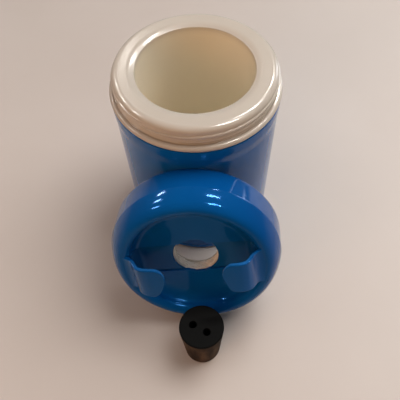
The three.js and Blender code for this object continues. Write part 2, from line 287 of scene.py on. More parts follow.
# %% Colours and nodes
def linear(hex_colour):
    """sRGB hex to linear RGBA: c / 12.92 below 0.04045, else ((c + 0.055) / 1.055) ^ 2.4."""
    c = np.array([int(hex_colour[i : i + 2], 16) for i in (1, 3, 5)]) / 255
    c = np.where(c <= 0.04045, c / 12.92, ((c + 0.055) / 1.055) ** 2.4)
    return (*c.tolist(), 1.0)


def add_node(tree, kind, inputs=None, **settings):
    """A node of that kind with its settings; inputs holds values, or output sockets to link."""
    node = tree.nodes.new(kind)
    for key, value in settings.items():
        setattr(node, key, value)
    for key, value in (inputs or {}).items():
        if isinstance(value, bpy.types.NodeSocket):
            tree.links.new(value, node.inputs[key])
        else:
            node.inputs[key].default_value = value
    return node


def new_material(name):
    """An empty material, with its shader and its Object coordinates in metres."""
    material = bpy.data.materials.new(name)
    material.use_nodes = True
    tree = material.node_tree
    shader = tree.nodes["Principled BSDF"]
    position = add_node(tree, "ShaderNodeTexCoord").outputs["Object"]
    return material, tree, shader, position


def noise(tree, position, size_mm, detail=3, roughness=0.5):
    """Cloudy noise whose blobs are about size_mm across; scale is waves per metre."""
    values = {"Vector": position, "Scale": 1000 / size_mm, "Detail": detail, "Roughness": roughness}
    return add_node(tree, "ShaderNodeTexNoise", values).outputs["Fac"]


def ramp(tree, fac, stops):
    """A colour ramp through (place, colour) stops; a plain number makes a grey."""
    node = add_node(tree, "ShaderNodeValToRGB", {"Fac": fac})
    elements = node.color_ramp.elements
    while len(elements) < len(stops):
        elements.new(0.5)
    for element, (place, colour) in zip(elements, stops):
        element.position = place
        element.color = linear(colour) if isinstance(colour, str) else (colour,) * 3 + (1,)
    return node.outputs["Color"]


def blend_colour(tree, fac, first, second):
    """first where fac is 0 and second where it is 1; each is a hex colour or a socket."""
    node = add_node(tree, "ShaderNodeMix", data_type="RGBA")
    for index, value in ((0, fac), (6, first), (7, second)):
        if isinstance(value, bpy.types.NodeSocket):
            tree.links.new(value, node.inputs[index])
        else:
            node.inputs[index].default_value = linear(value) if isinstance(value, str) else value
    return node.outputs[2]


def attribute(tree, name):
    return add_node(tree, "ShaderNodeAttribute", attribute_name=name).outputs["Fac"]


def bump(tree, height, distance_mm, strength=1.0, under=None):
    """Bump of that height in mm, on top of another bump where under is given."""
    values = {"Height": height, "Distance": distance_mm * MM, "Strength": strength}
    if under is not None:
        values["Normal"] = under
    return add_node(tree, "ShaderNodeBump", values).outputs["Normal"]


def set_shader(tree, shader, **values):
    """Values or links for the shader's sockets; an underscore stands for a space."""
    for key, value in values.items():
        socket = shader.inputs[key.replace("_", " ")]
        if isinstance(value, bpy.types.NodeSocket):
            tree.links.new(value, socket)
        else:
            socket.default_value = linear(value) if isinstance(value, str) else value


print("cream in linear light:", [round(x, 3) for x in linear("#e9e1cf")])

# %% [markdown]
# ## The finishes
# The blue parts are injection-moulded polypropylene: glossy, faintly wavy like orange peel at
# about 4.5 mm, with fine rub marks from use that only change the gloss. Where the plastic was cut
# it whitens; on the stubs' bend lines and the strips' upturned ends the same paler blue is a
# painted highlight. The `whitening_and_highlight` number on the lid's points carries both.

# %% Blue polypropylene
def blue_plastic(name, colour, deep, roughness):
    material, tree, shader, position = new_material(name)
    clouds = noise(tree, position, 60, 2)
    base = blend_colour(tree, ramp(tree, clouds, [(0.35, 0.0), (0.65, 1.0)]), deep, colour)
    rubs = noise(tree, add_node(tree, "ShaderNodeMapping", {
        "Vector": position, "Scale": (1, 0.12, 0.5), "Rotation": (0.4, 0.2, 0.7),
    }).outputs["Vector"], 0.9, 4, 0.6)
    # paler blue: whitening where the plastic was cut, and painted highlight on bend lines and
    # scoops
    whitened_and_highlit = blend_colour(tree, attribute(tree, "whitening_and_highlight"), base, "#2566a0")
    gloss = add_node(tree, "ShaderNodeMapRange", {
        "Value": rubs, "From Min": 0.35, "From Max": 0.75, "To Min": roughness,
        "To Max": roughness + 0.06,
    }).outputs["Result"]
    peel = bump(tree, noise(tree, position, 4.5, 1), 0.012)
    # The tint is a choice of look: it keeps the grey table's reflection from veiling the blue.
    set_shader(
        tree, shader, Base_Color=whitened_and_highlit, Roughness=gloss, IOR=1.49, Specular_Tint="#3f86d4",
        Normal=peel,
    )
    return material


jar_blue = blue_plastic("moulded_blue_polypropylene", "#075fa8", "#06589c", 0.12)
lid_blue = blue_plastic("moulded_blue_lid_polypropylene", "#065394", "#054c8c", 0.07)
strip_blue = blue_plastic("blue_slot_strip_polypropylene", "#0a4f86", "#084a7e", 0.17)
print("blue plastics:", jar_blue.name, lid_blue.name, strip_blue.name)

# %% [markdown]
# The liner is cream-white polypropylene; in the cavity, where the `inside` number is 1, it is
# painted brighter and yellower, as painted bounce light. Painted shade sits in the angle under
# each thread ridge and in the corner over the flange, which `painted_shade` carries.

# %% Cream liner, gasket and foam
def cream_plastic():
    material, tree, shader, position = new_material("moulded_cream_polypropylene")
    clouds = noise(tree, position, 35, 3)
    outside_cream = blend_colour(tree, clouds, "#c6baaa", "#cdc1b2")
    # painted light: the cavity's cream is brighter and yellower, for the light bounced inside it
    cavity_lit_cream = blend_colour(tree, clouds, "#f0e4cc", "#f3e9d3")
    base = blend_colour(tree, attribute(tree, "inside"), outside_cream, cavity_lit_cream)
    # painted shade: brown under the thread ridges and in the corner over the flange
    base = blend_colour(tree, attribute(tree, "painted_shade"), base, "#8d7a66")
    gloss = add_node(tree, "ShaderNodeMapRange", {
        "Value": noise(tree, position, 2.5, 4), "To Min": 0.15, "To Max": 0.24,
    }).outputs["Result"]
    set_shader(
        tree, shader, Base_Color=base, Roughness=gloss, IOR=1.49,
        Normal=bump(tree, noise(tree, position, 5, 1), 0.012),
    )
    return material


def rigid_foam():
    """Sawn polyurethane foam: cells of about 0.9 mm, torn open, on a whiter ground, with
    painted shade, a darker cream, in the hollow of each cell.
    """
    material, tree, shader, position = new_material("sawn_rigid_foam")
    cells = add_node(tree, "ShaderNodeTexVoronoi", {"Vector": position, "Scale": 1000 / 0.9})
    height = cells.outputs["Distance"]
    tint = noise(tree, position, 4, 3)
    ground = blend_colour(tree, tint, "#f6f3ee", "#e6ddd0")
    # painted shade: the cell hollows, where the bump is lowest, get the darker cream
    base = blend_colour(tree, ramp(tree, height, [(0.0, 1.0), (0.35, 0.0)]), ground, "#c9bfb2")
    set_shader(
        tree, shader, Base_Color=base, Roughness=0.92, Specular_IOR_Level=0.2,
        Normal=bump(tree, height, 0.35),
    )
    return material


def silicone():
    material, tree, shader, position = new_material("grey_silicone_gasket")
    base = blend_colour(tree, noise(tree, position, 8, 3), "#cfcabc", "#dcd8cb")
    set_shader(
        tree, shader, Base_Color=base, Roughness=0.55, IOR=1.43,
        Normal=bump(tree, noise(tree, position, 0.8, 2), 0.02),
    )
    return material


cream = cream_plastic()
foam = rigid_foam()
gasket_grey = silicone()
print("liner, foam, gasket:", cream.name, foam.name, gasket_grey.name)

# %% [markdown]
# The stopper is moulded black rubber. Its top is clean and matt, and its side carries a brown
# bloom, which is the sulphur and wax that rubber sweats out, wiped thin in places. `bloom` is
# 1 on the side. Fine vertical draw marks from the mould roughen the side.

# %% Black rubber
def black_rubber():
    material, tree, shader, position = new_material("moulded_black_rubber")
    tall = add_node(tree, "ShaderNodeMapping", {"Vector": position, "Scale": (1, 1, 0.25)})
    patches = ramp(tree, noise(tree, tall.outputs["Vector"], 6, 4), [(0.35, 0.25), (0.7, 1.0)])
    amount = add_node(
        tree, "ShaderNodeMath", {0: attribute(tree, "bloom"), 1: patches}, operation="MULTIPLY"
    ).outputs["Value"]
    base = blend_colour(tree, amount, "#060606", "#584536")
    grain = noise(tree, position, 0.35, 3)
    set_shader(
        tree, shader, Base_Color=base, Roughness=0.66, IOR=1.52, Specular_IOR_Level=0.05,
        Normal=bump(tree, grain, 0.03),
    )
    return material


rubber = black_rubber()
print("stopper:", rubber.name)

# %% [markdown]
# ## The jar
# The blue shell is a thin moulded tube with a slight taper. Its last centimetres flare out on a
# smooth step, 3 t^2 - 2 t^3, to meet the flange. A lathe profile says all of that, so it is
# turned.

# %% Outer shell and base cap
def shell_profile():
    top = body_radius(SHELL_TOP_Z) + SHOULDER_STEP
    low = body_radius(SHELL_LOW_Z)
    shoulder = body_radius(SHOULDER_Z)
    rise = np.linspace(0, 1, 24)
    smooth = rise**2 * (3 - 2 * rise)
    flare = np.column_stack([
        body_radius(SHOULDER_Z + SHOULDER_RISE * rise) + SHOULDER_STEP * smooth,
        SHOULDER_Z + SHOULDER_RISE * rise,
    ])
    return joined(
        line((low - WALL, SHELL_LOW_Z), (low - 0.4, SHELL_LOW_Z)),
        arc((low - 0.4, SHELL_LOW_Z + 0.4), (0.4, 0.4), -90, 0, 5),
        line((low, SHELL_LOW_Z + 0.4), (shoulder, SHOULDER_Z), 3),
        flare,
        line(flare[-1], (top, SHELL_TOP_Z - 0.6), 3),
        arc((top - 0.6, SHELL_TOP_Z - 0.6), (0.6, 0.6), 0, 90, 6),
        line((top - 0.6, SHELL_TOP_Z), (top - SHOULDER_STEP - WALL, SHELL_TOP_Z)),
        line((top - SHOULDER_STEP - WALL, SHELL_TOP_Z), (low - WALL, SHELL_LOW_Z), 6),
    )[:-1]


def base_profile():
    edge = body_radius(SHELL_LOW_Z)
    inner = edge - WALL - GAP
    seat = SHELL_LOW_Z - GAP
    return joined(
        line((0, 0), (30, 0), 5), line((30, 0), (31, 1)), line((31, 1), (34, 1)),
        line((34, 1), (35, 0)), line((35, 0), (edge - 3, 0), 4),
        arc((edge - 3, 3), (3, 3), -90, 0, 10), line((edge, 3), (edge, seat - 0.4)),
        arc((edge - 0.4, seat - 0.4), (0.4, 0.4), 0, 90, 5),
        line((edge - 0.4, seat), (inner, seat)),
        line((inner, seat), (inner, BASE_SPIGOT_Z)),
        line((inner, BASE_SPIGOT_Z), (inner - WALL, BASE_SPIGOT_Z)),
        line((inner - WALL, BASE_SPIGOT_Z), (inner - WALL, WALL + 1), 3),
        line((inner - WALL, WALL + 1), (0, WALL + 1), 6),
    )


shell = closed_turn("moulded_shell", shell_profile())
finished(shell, jar_blue, "jar", ["outer_shell"])
base = poled_turn("moulded_base", base_profile())
finished(base, jar_blue, "jar", ["base_cap"])

# %% [markdown]
# The liner, rim, neck and flange are one cream moulding. The screw ridges can't come from one
# profile, because they rise as they go round. So the neck's radius is a function of angle and
# height instead: each ridge adds a rounded bump wherever a point is close to its rising line.

# %% The threaded liner
THREAD_LEAD = 8
NECK_RIDGES = [  # start angle, angle run, height at the start, how far it stands out
    (52, 186, 143.3, 0.9),
    (232, 186, 143.3, 0.9),
    (262, 96, 139.9, 0.6),
]
RIDGE_HALF_WIDTH = 0.95
RIDGE_FADE = 14


def ridge_bump(angle, height):
    """How far the ridges stand out, and how much painted shade the angle under them gets. Each
    ridge follows z = start + lead x turns. Across that line it is 1.25 - (distance / 0.95 mm)^2.2
    of its full height, kept between 0 and 1, and it fades over its first and last 14 degrees."""
    out = np.zeros(np.broadcast(angle, height).shape)
    shade = np.zeros_like(out)
    for start, run, low, tall in NECK_RIDGES:
        along = (np.degrees(angle) - start) % 360
        line_z = low + THREAD_LEAD * along / 360
        off = height - line_z
        ends = np.clip(np.minimum(along, run - along) / RIDGE_FADE, 0, 1) ** 0.6
        top = np.clip(1.25 - np.abs(off / RIDGE_HALF_WIDTH) ** 2.2, 0, 1)
        out = np.maximum(out, tall * ends * top)
        # painted shade in the angle just under each ridge
        shade = np.maximum(shade, ends * np.exp(-(((off + 1.5) / 0.45) ** 2)))
    return out, shade


def liner_profile():
    bead = (FLANGE_TOP_Z - FLANGE_LOW_Z) / 2
    seat = body_radius(SHELL_TOP_Z) - WALL - GAP
    out_r = NECK_R - LINER_WALL
    in_r = MOUTH_R + LINER_WALL
    low = CAVITY_FLOOR_Z - LINER_WALL
    fillet = CAVITY_FILLET
    foot = (CAVITY_FLOOR_R - fillet, CAVITY_FLOOR_Z + fillet)
    lip = 0.8
    mouth_z = RIM_Z - LIP_DROP
    return joined(
        line((0, low), (foot[0], low), 5),
        arc(foot, (fillet + LINER_WALL, fillet + LINER_WALL), -90, 0, 12),
        line((CAVITY_FLOOR_R + LINER_WALL, foot[1]), (in_r, RIM_Z - 8), 6),
        line((in_r, RIM_Z - 8), (in_r, RIM_Z - LINER_WALL - 0.4)),
        line((in_r, RIM_Z - LINER_WALL - 0.4), (out_r, RIM_Z - LINER_WALL - 0.4), 3),
        line((out_r, RIM_Z - LINER_WALL - 0.4), (out_r, FLANGE_LOW_Z - 4), 6),
        line((out_r, FLANGE_LOW_Z - 4), (seat, FLANGE_LOW_Z - 4), 3),
        line((seat, FLANGE_LOW_Z - 4), (seat, FLANGE_LOW_Z), 3),
        line((seat, FLANGE_LOW_Z), (FLANGE_R - 0.9, FLANGE_LOW_Z)),
        arc((FLANGE_R - bead, FLANGE_LOW_Z + bead), (bead, bead), -60, 90, 16),
        line((FLANGE_R - bead, FLANGE_TOP_Z), (NECK_R + 0.5, FLANGE_TOP_Z)),
        arc((NECK_R + 0.5, FLANGE_TOP_Z + 0.5), (0.5, 0.5), 270, 180, 5),
        line((NECK_R, FLANGE_TOP_Z + 0.5), (NECK_R, RIM_Z - RIM_ROUND_Z), 0.16),
        arc((NECK_R - RIM_ROUND_R, RIM_Z - RIM_ROUND_Z), (RIM_ROUND_R, RIM_ROUND_Z), 0, 90, 20),
        line((NECK_R - RIM_ROUND_R, RIM_Z), (RIM_CREST_R, RIM_Z), 1),
        bezier([(RIM_CREST_R, RIM_Z), (44.5, RIM_Z), (MOUTH_R + lip, mouth_z)], 14),
        arc((MOUTH_R + lip, mouth_z - lip), (lip, lip), 100, 180, 8),
        line((MOUTH_R, mouth_z - lip), (CAVITY_FLOOR_R, foot[1]), 3),
        arc(foot, (fillet, fillet), 0, -90, 12),
        line((foot[0], CAVITY_FLOOR_Z), (0, CAVITY_FLOOR_Z), 5),
    )


def liner():
    turns = 288
    radius, height, angle = round_the_turn(liner_profile(), turns)
    neck = (np.abs(radius - NECK_R) < 1e-6) & (height > FLANGE_TOP_Z)
    extra, _ = ridge_bump(angle, height)
    grown = radius + np.where(neck, extra, 0)
    # the rim was faced off slightly uneven: it rises and falls by a few hundredths of a mm
    on_rim = height > RIM_Z - 0.01
    level = height - np.where(on_rim, 0.02 + 0.02 * np.cos(3 * angle + 0.6), 0)
    quads = grid_quads(len(radius), turns, False, True)
    obj = bare_mesh("moulded_liner", turned(grown, level, angle), quads)
    at = places(obj)
    r, turn = np.hypot(at[:, 0], at[:, 1]), np.arctan2(at[:, 1], at[:, 0])
    # painted light: 1 deep in the cavity, where the cream is painted brighter and yellower
    mark(obj, "inside", np.where(r < MOUTH_R + 0.05, np.clip((RIM_Z - at[:, 2]) / 6, 0, 1), 0))
    # painted shade: under each ridge and in the corner where the neck meets the flange
    _, shade = ridge_bump(turn, at[:, 2])
    corner = np.exp(-(((at[:, 2] - FLANGE_TOP_Z) / 0.5) ** 2)) * (np.abs(r - NECK_R) < 1.2)
    on_neck = (np.abs(r - NECK_R) < 0.8) & (at[:, 2] > FLANGE_TOP_Z)
    mark(obj, "painted_shade", np.maximum(0.55 * shade * on_neck, 0.6 * corner))
    return obj


finished(liner(), cream, "jar", ["threaded_liner"], 40)

# %% [markdown]
# The foam between shell and liner is never seen, so its CAD solid stays, with the foam finish.

# %% Insulation foam
packed_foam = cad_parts["insulation_foam"]
packed_foam.data.materials.clear()
packed_foam.data.materials.append(foam)
print("kept as it is:", packed_foam.name)

# %% [markdown]
# ## The lid
# The lid is a domed ring round a dish. The dome is part of an ellipse, the inside of the crest
# a round lip, and the wall of the dish a hollow quarter ellipse. The hole was sawn by hand, so
# its radius wanders. The shell's profile starts and ends at the hole, and is carried round as a
# closed loop, with only its two end rows moved in and out.

# %% The lid's profile
WALL_R = CREST_R - LIP_RADIUS
WALL_Z = CREST_Z - LIP_RADIUS
SKIRT_RIDGES = [(20, 200, -15.2, 0.9), (200, 200, -15.2, 0.9)]


def dome(inset, upwards, count=20):
    """The dome's ellipse, inset from the outer face, between the skirt and the crest."""
    turn = math.acos(1 - CREST_Z / DOME_RISE)
    half = (LID_R - CREST_R) / math.sin(turn) - inset
    ends = (90 - math.degrees(turn), 90)
    start, stop = ends if upwards else ends[::-1]
    return arc((CREST_R, CREST_Z - DOME_RISE), (half, DOME_RISE - inset), start, stop, count)


def lid_shell_profile():
    foot = (DISH_R + 2, WALL_Z)
    under = (WALL_R + WALL - DISH_R - 2, WALL_Z - DISH_Z + WALL)
    return joined(
        line((HOLE_R, DISH_Z - WALL), (foot[0], DISH_Z - WALL), 2),
        arc(foot, under, -90, 0, 10),
        arc((CREST_R, WALL_Z), (LIP_RADIUS - WALL, LIP_RADIUS - WALL), 180, 90, 8),
        dome(WALL, False),
        line((LID_R - WALL, -0.5), (LID_R - WALL, -SKIRT + 0.5), 0.4),
        arc((LID_R - WALL / 2, -SKIRT + 0.5), (WALL / 2, 0.5), 180, 360, 9),
        line((LID_R, -SKIRT + 0.5), (LID_R, -0.3), 2),
        line((LID_R, -0.3), dome(0, True)[0] + (0, 0.1), 0.4),
        dome(0, True, 36)[1:],
        arc((CREST_R, WALL_Z), (LIP_RADIUS, LIP_RADIUS), 90, 180, 14),
        arc((DISH_R, WALL_Z), (WALL_R - DISH_R, WALL_Z - DISH_Z), 0, -90, 16),
        line((DISH_R, DISH_Z), (HOLE_R, DISH_Z), 1.2),
    )


def sawn_radius(angle, seed):
    """The hole's radius: true to half a millimetre, with small ragged nicks."""
    slow = 0.22 * waves(angle, 0, seed, 6, 6)
    nicks = np.clip(waves(angle, 0, seed + 1, 30, 60) - 0.9, 0, 1.5)
    return HOLE_R + 0.1 + np.clip(slow, -0.35, 0.35) + 0.28 * nicks


def lid_shell_turn():
    profile = lid_shell_profile()
    radius, height, angle = round_the_turn(profile)
    radius[0] = sawn_radius(angle, 11)
    radius[-1] = sawn_radius(angle, 12)
    inner_skirt = (np.abs(radius - (LID_R - WALL)) < 1e-6) & (height < -1)
    for start, run, low, tall in SKIRT_RIDGES:
        along = (np.degrees(angle) - start) % 360
        off = height - (low + THREAD_LEAD * along / 360)
        ends = np.clip(np.minimum(along, run - along) / RIDGE_FADE, 0, 1)
        top = np.clip(1.3 - np.abs(off / 1.1) ** 2, 0, 1)
        radius = radius - np.where(inner_skirt, tall * ends * top, 0)
    points = lid_place(turned(radius, height, angle))
    return bare_mesh("moulded_lid", points, grid_quads(len(profile), TURNS, True, True))


lid_shell = lid_shell_turn()
print("lid profile ready,", len(lid_shell.data.polygons), "faces before it is cut")

# %% [markdown]
# An arched handle once bridged the dish and was cut away. Two stubs remain, like short curved
# tongues that spring from the crest. Each is a patch between four edge curves, seen from
# above, with an upper and a lower sheet over it: the arch's height depends only on how far out
# a point lies, and near the cut edges the two sheets close on each other in a small round.

# %% Patches and slabs
def resampled(points, places_along):
    """The polyline's points at the given shares of its length."""
    step = np.linalg.norm(np.diff(points, axis=0), axis=1)
    along = np.concatenate([[0], np.cumsum(step)]) / step.sum()
    return np.stack([np.interp(places_along, along, points[:, k]) for k in (0, 1)], -1)


def crowded(count):
    """Shares from 0 to 1 that crowd towards both ends."""
    return 0.5 - 0.5 * np.cos(np.linspace(0, np.pi, count))


def coons(low, high, root, tip, rows, columns):
    """A patch between four curves: low and high run from root to tip, root and tip from low to
    high. Each point is the sum of the two straight blends less the blend of the corners."""
    u, v = crowded(rows), crowded(columns)
    low, high = resampled(low, u)[:, None], resampled(high, u)[:, None]
    root, tip = resampled(root, v)[None], resampled(tip, v)[None]
    u, v = u[:, None, None], v[None, :, None]
    across = (1 - v) * low + v * high
    along = (1 - u) * root + u * tip
    first = (1 - v) * low[:1] + v * high[:1]
    last = (1 - v) * low[-1:] + v * high[-1:]
    return across + along - (1 - u) * first - u * last


def edge_distance(patch):
    """How far each point of the patch is from the nearest point of its border."""
    border = np.concatenate([patch[0], patch[-1], patch[:, 0], patch[:, -1]])
    off = patch.reshape(-1, 1, 2) - border[None]
    return np.sqrt((off**2).sum(-1)).min(1).reshape(patch.shape[:2])


def slab(name, patch, top, bottom, edge):
    """The closed solid between two sheets over a patch. The sheets meet along the border on a
    quarter ellipse: half thickness x sqrt(1 - (1 - distance / edge)^2)."""
    near = np.clip(edge_distance(patch) / edge, 0, 1)
    swell = np.sqrt(1 - (1 - near) ** 2)
    middle, half = (top + bottom) / 2, (top - bottom) / 2 * swell
    rows, columns = patch.shape[:2]
    upper = np.concatenate([patch, (middle + half)[..., None]], -1).reshape(-1, 3)
    lower = np.concatenate([patch, (middle - half)[..., None]], -1).reshape(-1, 3)
    quads = grid_quads(rows, columns)
    faces = np.concatenate([quads, quads[:, ::-1] + rows * columns])
    return bare_mesh(name, lid_place(along_slot(np.concatenate([upper, lower]))), faces)


def along_slot(points):
    """From a shape drawn along the slot to the lid: shifted, then turned about the axis."""
    c, s = math.cos(SLOT_TURN), math.sin(SLOT_TURN)
    x, y, z = points[..., 0], points[..., 1] + SLOT_SHIFT, points[..., 2]
    return np.stack([x * c - y * s, x * s + y * c, z], -1)


print("handle direction on the lid, degrees:", round(math.degrees(SLOT_TURN)))

# %% [markdown]
# The arch is the same on both sides, so its upper and lower curves are stored once, as height
# against distance from the lid's axis. The outlines differ: the left stub ends in a full round
# and the right one in a slant.

# %% The two handle stubs
ARCH_TOP = joined(
    line((10, BRIDGE_TOP_Z), (28, BRIDGE_TOP_Z - 0.4)),
    bezier(
        [(28, BRIDGE_TOP_Z - 0.4), (37, BRIDGE_TOP_Z - 1), (39, BRIDGE_TOP_Z - 3), (42, 18)], 30
    ),
    bezier([(42, 18), (44, 14.6), (50, CREST_Z - 0.4)], 16),
)
LOW_Z = BRIDGE_TOP_Z - BRIDGE_T
ARCH_LOW = joined(
    line((10, LOW_Z), (28, LOW_Z - 0.4)),
    bezier([(28, LOW_Z - 0.4), (35, LOW_Z - 1), (37, LOW_Z - 2.4), (39.4, 17.4)], 30),
    bezier([(39.4, 17.4), (41.4, 13.4), (45.6, 12.5)], 16),
    line((45.6, 12.5), (50, 12.9)),
)


def arch_heights(patch):
    out = np.abs(patch[..., 0])
    return np.interp(out, *ARCH_TOP.T), np.interp(out, *ARCH_LOW.T)


left_low = np.concatenate([bezier([(-50, -16.2), (-42, -13.6), (-36, -13.4)], 12), [(-29, -13.8)]])
left_high = np.concatenate([bezier([(-50, 15.2), (-42, 12.4), (-36, 12.4)], 12), [(-28, 12.8)]])
left_tip = joined(
    bezier([(-29, -13.8), (-24, -12), (-21.4, -5)], 12),
    bezier([(-21.4, -5), (-18.4, 2), (-19.4, 6.5)], 10),
    bezier([(-19.4, 6.5), (-21, 12.2), (-28, 12.8)], 12),
)
right_low = np.concatenate([bezier([(50, -18), (43, -14.6), (36, -13.8)], 12), [(30, -13.2)]])
right_high = np.concatenate([bezier([(50, 16), (43, 12.4), (36, 12.8)], 12), [(28, 13.8)]])
right_tip = joined(
    bezier([(30, -13.2), (24, -12.6), (22.6, -7)], 12),
    bezier([(22.6, -7), (19.6, 2), (20.2, 6)], 10),
    bezier([(20.2, 6), (22.6, 12.6), (28, 13.8)], 12),
)


def stub(name, low, high, tip):
    root = line(low[0], high[0])
    patch = coons(low, high, root, tip, 64, 48)
    top, bottom = arch_heights(patch)
    return slab(name, patch, top, bottom, 0.7)


combined(lid_shell, stub("left_stub", left_low, left_high, left_tip), "UNION")
combined(lid_shell, stub("right_stub", right_low, right_high, right_tip), "UNION")
print("with both stubs:", len(lid_shell.data.polygons), "faces")

# %% [markdown]
# Under the handle the dish has a flat slot with upturned ends, which a strip closes from
# below. A prism with the slot's side view as its section cuts it out of the shell and the foam.

# %% Cut the slot
def slot_prism(grow):
    """The slot's side view carried across its width, closed by a flat face at each side."""
    half = SLOT_HALF_LENGTH + grow
    low = DISH_Z - WALL - 1 - grow
    right_end = bezier([(half - 9, low), (half, low), (half, 12)], 24)
    side = np.concatenate([right_end, (right_end * (-1, 1))[::-1]])
    width = SLOT_WIDTH / 2 + grow
    n = len(side)
    ends = [np.column_stack([side[:, 0], np.full(n, y), side[:, 1]]) for y in (-width, width)]
    faces = grid_quads(2, n, False, True).tolist()
    faces += [list(range(n))[::-1], list(range(n, 2 * n))]
    return bare_mesh("slot_cutter", lid_place(along_slot(np.concatenate(ends))), faces)


combined(lid_shell, slot_prism(0), "DIFFERENCE")


def whitening_and_highlights(obj):
    """The `whitening_and_highlight` number of the lid: whitening on the stubs' cut edges and the
    saw's rim, and a painted highlight along the stubs' bend lines.
    """
    own = lid_own(places(obj))
    c, s = math.cos(SLOT_TURN), math.sin(SLOT_TURN)
    x = own[:, 0] * c + own[:, 1] * s
    z = own[:, 2]
    r = np.hypot(own[:, 0], own[:, 1])
    on_stub = (z > 16) & (r < 46)
    out = np.abs(x)
    middle = (np.interp(out, *ARCH_TOP.T) + np.interp(out, *ARCH_LOW.T)) / 2
    thick = np.abs(z - middle)
    edge = on_stub * np.clip((1.15 - thick) / 0.5, 0, 1) * 0.75
    # painted highlight along the bend from each stub's root to its tongue
    bend_highlight = on_stub * np.exp(-(((out - 38.5) / 0.9) ** 2)) * 0.35
    rim = np.exp(-(((r - HOLE_R) / 0.5) ** 2)) * (np.abs(z - 2.3) < 1.5) * 0.5
    return np.maximum.reduce([edge, bend_highlight, rim])


mark(lid_shell, "whitening_and_highlight", whitening_and_highlights(lid_shell))
finished(lid_shell, lid_blue, "lid", ["lid_shell"], 30)

# %% [markdown]
# The strips run from the hole's arc out to the slot's ends, where they turn up like a scoop.
# Each is a slab again, whose sheets are the strip's upper and lower faces.

# %% The slot strips
STRIP_END = SLOT_HALF_LENGTH - GAP
STRIP_TOP = DISH_Z - SLOT_PLATE_DROP
STRIP_LOW = STRIP_TOP - SLOT_PLATE_T
SCOOP_TOP = joined(
    line((0, STRIP_TOP), (STRIP_END - 9.4, STRIP_TOP)),
    bezier([(STRIP_END - 9.4, STRIP_TOP), (STRIP_END - 1.4, STRIP_TOP), (STRIP_END - 1.4, 11)], 40),
    line((STRIP_END - 1.4, 11), (STRIP_END, 11)),
)
SCOOP_LOW = joined(
    line((0, STRIP_LOW), (STRIP_END - 8, STRIP_LOW)),
    bezier([(STRIP_END - 8, STRIP_LOW), (STRIP_END, STRIP_LOW), (STRIP_END, 11)], 40),
)


def strip(name, side):
    """A quarter-round of scoop: the patch runs from the hole's arc, x = sqrt(r^2 - y^2), to the
    upturned end, and crowds its rows where the end turns up."""
    half = SLOT_WIDTH / 2 - GAP
    y = np.linspace(-half, half, 40)
    start = np.sqrt((HOLE_R + 0.35) ** 2 - (y + SLOT_SHIFT) ** 2)
    share = 1 - (1 - np.linspace(0, 1, 90)) ** 2.2
    x = start[None] + (STRIP_END - start[None]) * share[:, None]
    patch = np.stack([side * x, np.broadcast_to(y, x.shape)], -1)
    top = np.interp(x, *SCOOP_TOP.T)
    bottom = np.minimum(np.interp(x, *SCOOP_LOW.T), top - 0.02)
    obj = slab(name, patch, top, bottom, 0.15)
    own = lid_own(places(obj))
    # painted light: the strip is paler where its end turns up towards the light
    rise = np.clip((own[:, 2] - 3.4) / 7, 0, 1)
    mark(obj, "whitening_and_highlight", 0.35 * rise)
    return obj


finished(strip("slot_strip_left", -1), strip_blue, "lid", ["slot_plate_left"])
finished(strip("slot_strip_right", 1), strip_blue, "lid", ["slot_plate_right"])

# %% [markdown]
# The sawn foam shows in the hole's wall as a rough white band. Its bore is a grid of angle and
# height whose radius wanders by half a millimetre, and the rest of the section is turned.

# %% The lid's foam
def lid_foam():
    low = PLATE_Z + PLATE_T + GAP
    inset = WALL + GAP
    foot = (DISH_R + 2, WALL_Z)
    curve = (WALL_R + inset - DISH_R - 2, WALL_Z - DISH_Z + inset)
    profile = joined(
        line((HOLE_R, low), (LID_R - inset, low), 3),
        line((LID_R - inset, low), (LID_R - inset, -1), 2),
        dome(inset, True, 14),
        arc((CREST_R, WALL_Z), (LIP_RADIUS - inset, LIP_RADIUS - inset), 90, 180, 8),
        arc(foot, curve, 0, -90, 8),
        line((foot[0], DISH_Z - inset), (HOLE_R, DISH_Z - inset), 3),
        line((HOLE_R, DISH_Z - inset), (HOLE_R, low), 0.22),
    )[:-1]
    radius, height, angle = round_the_turn(profile)
    bore = np.abs(radius - HOLE_R) < 1e-6
    rough = waves(angle, height * 0.9, 21, 60, 46) * 0.26 + waves(angle, height, 22, 10, 7) * 0.2
    radius = radius + np.where(bore, np.clip(rough, -0.5, 0.9), 0)
    points = lid_place(turned(radius, height, angle))
    obj = bare_mesh("sawn_foam", points, grid_quads(len(profile), TURNS, True, True))
    return combined(obj, slot_prism(GAP), "DIFFERENCE")


finished(lid_foam(), foam, "lid", ["lid_foam"], 50)

# %% [markdown]
# A plate closes the lid from below, and a soft ring on it beds on the jar's rim. Neither shows
# from the front, but both do when the lid is lifted.

# %% The inner plate and the gasket
def plate_profile():
    edge = LID_R - WALL - GAP
    top = PLATE_Z + PLATE_T
    return joined(
        line((HOLE_R + 0.3, PLATE_Z), (30, PLATE_Z), 4),
        line((30, PLATE_Z), (30.5, PLATE_Z - 0.5)),
        line((30.5, PLATE_Z - 0.5), (33.5, PLATE_Z - 0.5)),
        line((33.5, PLATE_Z - 0.5), (34, PLATE_Z)),
        line((34, PLATE_Z), (edge - 0.5, PLATE_Z), 4),
        arc((edge - 0.5, PLATE_Z + 0.5), (0.5, 0.5), -90, 0, 5),
        line((edge, PLATE_Z + 0.5), (edge, top)), line((edge, top), (HOLE_R + 0.3, top), 6),
        line((HOLE_R + 0.3, top), (HOLE_R + 0.3, PLATE_Z), 0.4),
    )[:-1]


GASKET_IN_R = 42.7
GASKET_OUT_R = 53.5
GASKET_T = 1.8


